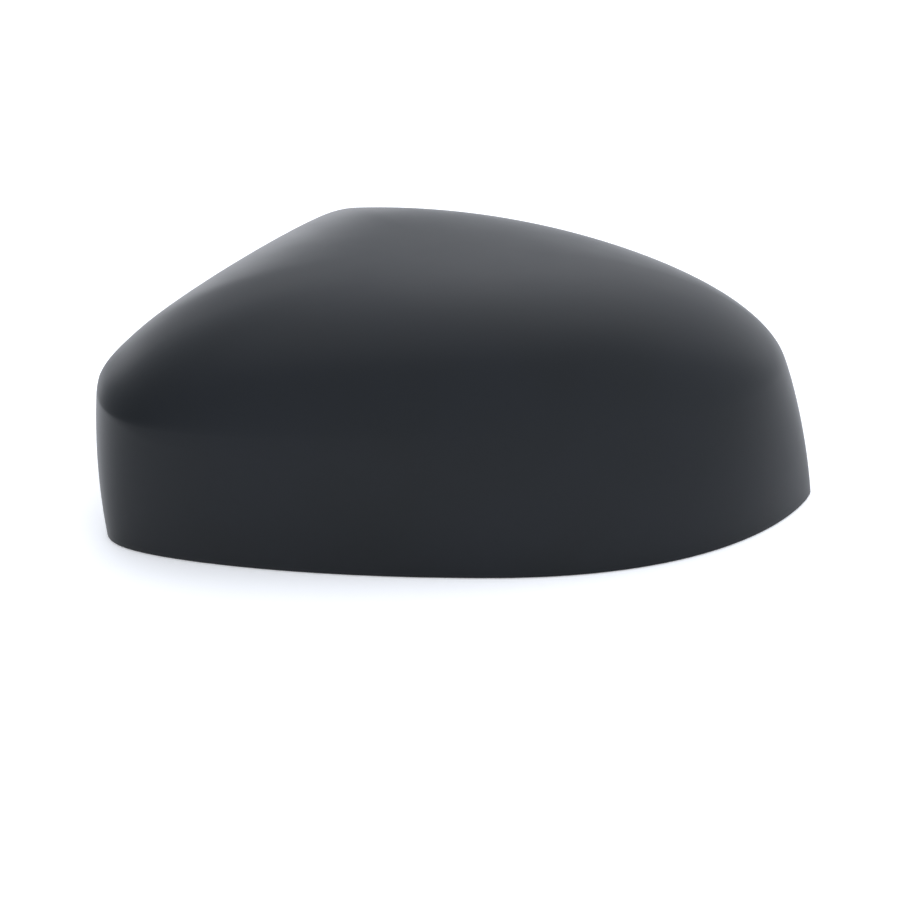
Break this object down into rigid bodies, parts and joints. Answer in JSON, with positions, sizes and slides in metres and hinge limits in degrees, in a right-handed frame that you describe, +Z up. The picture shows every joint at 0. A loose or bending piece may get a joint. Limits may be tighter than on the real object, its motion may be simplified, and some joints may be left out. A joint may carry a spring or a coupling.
{
  "type": "wing mirror cover",
  "caption": "Domed moulded cover for a car wing mirror: a creased open shell with a thinned rim, snap hooks, locating pins and stiffening ribs inside.",
  "frame": {"origin": "centre of the cover's plan box, on the plane of its rim", "axes": "+X along the cover to its pointed end, +Y away from the viewer, +Z up from the rim to the crown"},
  "size_m": [0.2056, 0.1404, 0.0713],
  "materials": {
    "cover_plastic": "fine-grained satin black moulded ABS"
  },
  "bodies": {
    "root": {"mirror_cover": "cover_plastic"}
  },
  "joints": []
}
